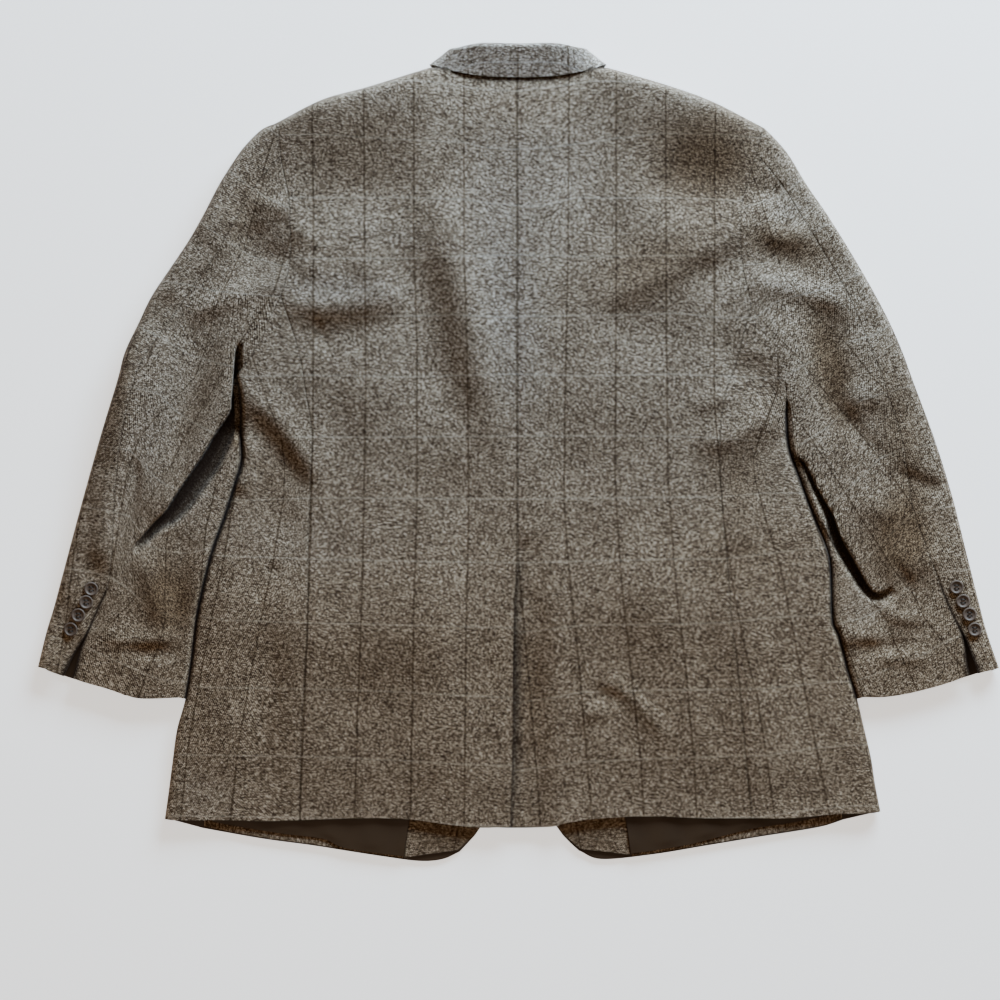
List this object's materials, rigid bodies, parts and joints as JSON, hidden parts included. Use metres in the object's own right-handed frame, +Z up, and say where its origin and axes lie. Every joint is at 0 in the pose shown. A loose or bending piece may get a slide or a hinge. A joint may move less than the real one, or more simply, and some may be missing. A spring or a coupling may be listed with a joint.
{
  "type": "sport coat",
  "caption": "Single-breasted wool tweed sport coat with notch lapels, long sleeves and a centre back vent, laid flat on its fronts with the back up.",
  "frame": {"origin": "middle of the bounding box's footprint, at the height of the surface that the coat lies on", "axes": "+X from the wearer's left cuff to the right cuff, +Y from the hem to the collar, +Z up, out of the coat's back"},
  "size_m": [1.023, 0.869, 0.0394],
  "materials": {
    "tweed": "matt brown and grey wool herringbone tweed with a fine windowpane check",
    "lining": "smooth dark brown twill lining, slightly shiny",
    "button": "dark brown horn-like, polished"
  },
  "bodies": {
    "root": {"back_left": "tweed", "back_right": "tweed", "side_left": "tweed", "side_right": "tweed", "front_left": "tweed", "front_right": "tweed", "lapel_left": "tweed", "lapel_right": "tweed", "collar": "tweed", "top_sleeve_left": "tweed", "top_sleeve_right": "tweed", "under_sleeve_left": "tweed", "under_sleeve_right": "tweed", "facing_left": "tweed", "facing_right": "tweed", "hem_left": "tweed", "hem_right": "tweed", "lining_left": "lining", "lining_right": "lining", "cuff_button_left_1": "button", "cuff_button_left_2": "button", "cuff_button_left_3": "button", "cuff_button_left_4": "button", "cuff_button_right_1": "button", "cuff_button_right_2": "button", "cuff_button_right_3": "button", "cuff_button_right_4": "button", "front_button_top": "button", "front_button_lower": "button"}
  },
  "joints": []
}
